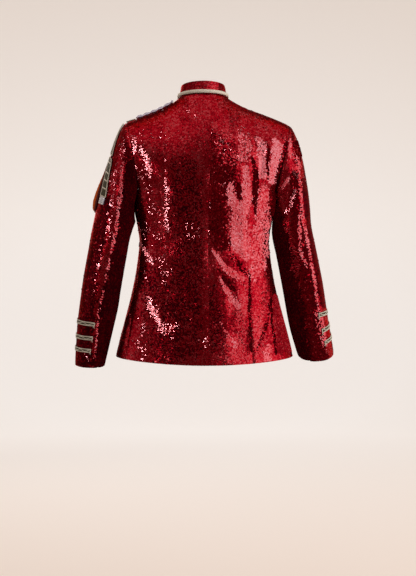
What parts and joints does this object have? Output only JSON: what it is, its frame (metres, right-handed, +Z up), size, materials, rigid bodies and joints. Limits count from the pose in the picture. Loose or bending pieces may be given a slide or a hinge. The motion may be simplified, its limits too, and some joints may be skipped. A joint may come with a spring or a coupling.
{
  "type": "military jacket",
  "caption": "Fitted hip-length military jacket with a stand collar, red sequins all over and gold braid trim, in the hollow form that it keeps when worn.",
  "frame": {"origin": "middle of the neck opening, level with the points where the shoulder seams meet the collar", "axes": "+Z up, the front faces -Y, the wearer's left is +X"},
  "size_m": [0.7204, 0.2787, 0.7642],
  "materials": {
    "sequin_cloth": "red sequins all over on a knitted ground",
    "gold_braid": "twisted metallic thread, pale gold",
    "dark_braid": "dark olive braid with gold threads",
    "silver_ribbon": "glossy silver ribbon, wavy",
    "crystal": "clear faceted stones on a silver setting",
    "copper_cloth": "satin, copper brown",
    "button_metal": "polished, domed"
  },
  "bodies": {
    "root": {"back_left": "sequin_cloth", "back_right": "sequin_cloth", "side_back_left": "sequin_cloth", "side_back_right": "sequin_cloth", "front_left": "sequin_cloth", "front_right": "sequin_cloth", "top_sleeve_head_left": "sequin_cloth", "top_sleeve_arm_left": "sequin_cloth", "top_sleeve_cuff_left": "sequin_cloth", "top_sleeve_head_right": "sequin_cloth", "top_sleeve_arm_right": "sequin_cloth", "top_sleeve_cuff_right": "sequin_cloth", "under_sleeve_left": "sequin_cloth", "under_sleeve_right": "sequin_cloth", "collar": "sequin_cloth", "neck_cord": "gold_braid", "button_1": "button_metal", "button_2": "button_metal", "button_3": "button_metal", "button_4": "button_metal", "button_5": "button_metal", "button_6": "button_metal", "button_7": "button_metal", "cuff_bar_left_1_frame": "gold_braid", "cuff_bar_left_1_insert": "dark_braid", "cuff_bar_left_2_frame": "gold_braid", "cuff_bar_left_2_insert": "dark_braid", "cuff_bar_left_3_frame": "gold_braid", "cuff_bar_left_3_insert": "dark_braid", "cuff_bar_right_1_frame": "gold_braid", "cuff_bar_right_1_insert": "dark_braid", "cuff_bar_right_2_frame": "gold_braid", "cuff_bar_right_2_insert": "dark_braid", "cuff_bar_right_3_frame": "gold_braid", "cuff_bar_right_3_insert": "dark_braid", "shoulder_strip": "silver_ribbon", "strap_shoulder_frame": "gold_braid", "strap_shoulder_insert": "dark_braid", "strap_1_frame": "gold_braid", "strap_1_insert": "dark_braid", "strap_2_frame": "gold_braid", "strap_2_insert": "dark_braid", "strap_tip": "crystal", "sleeve_tab": "copper_cloth"}
  },
  "joints": []
}
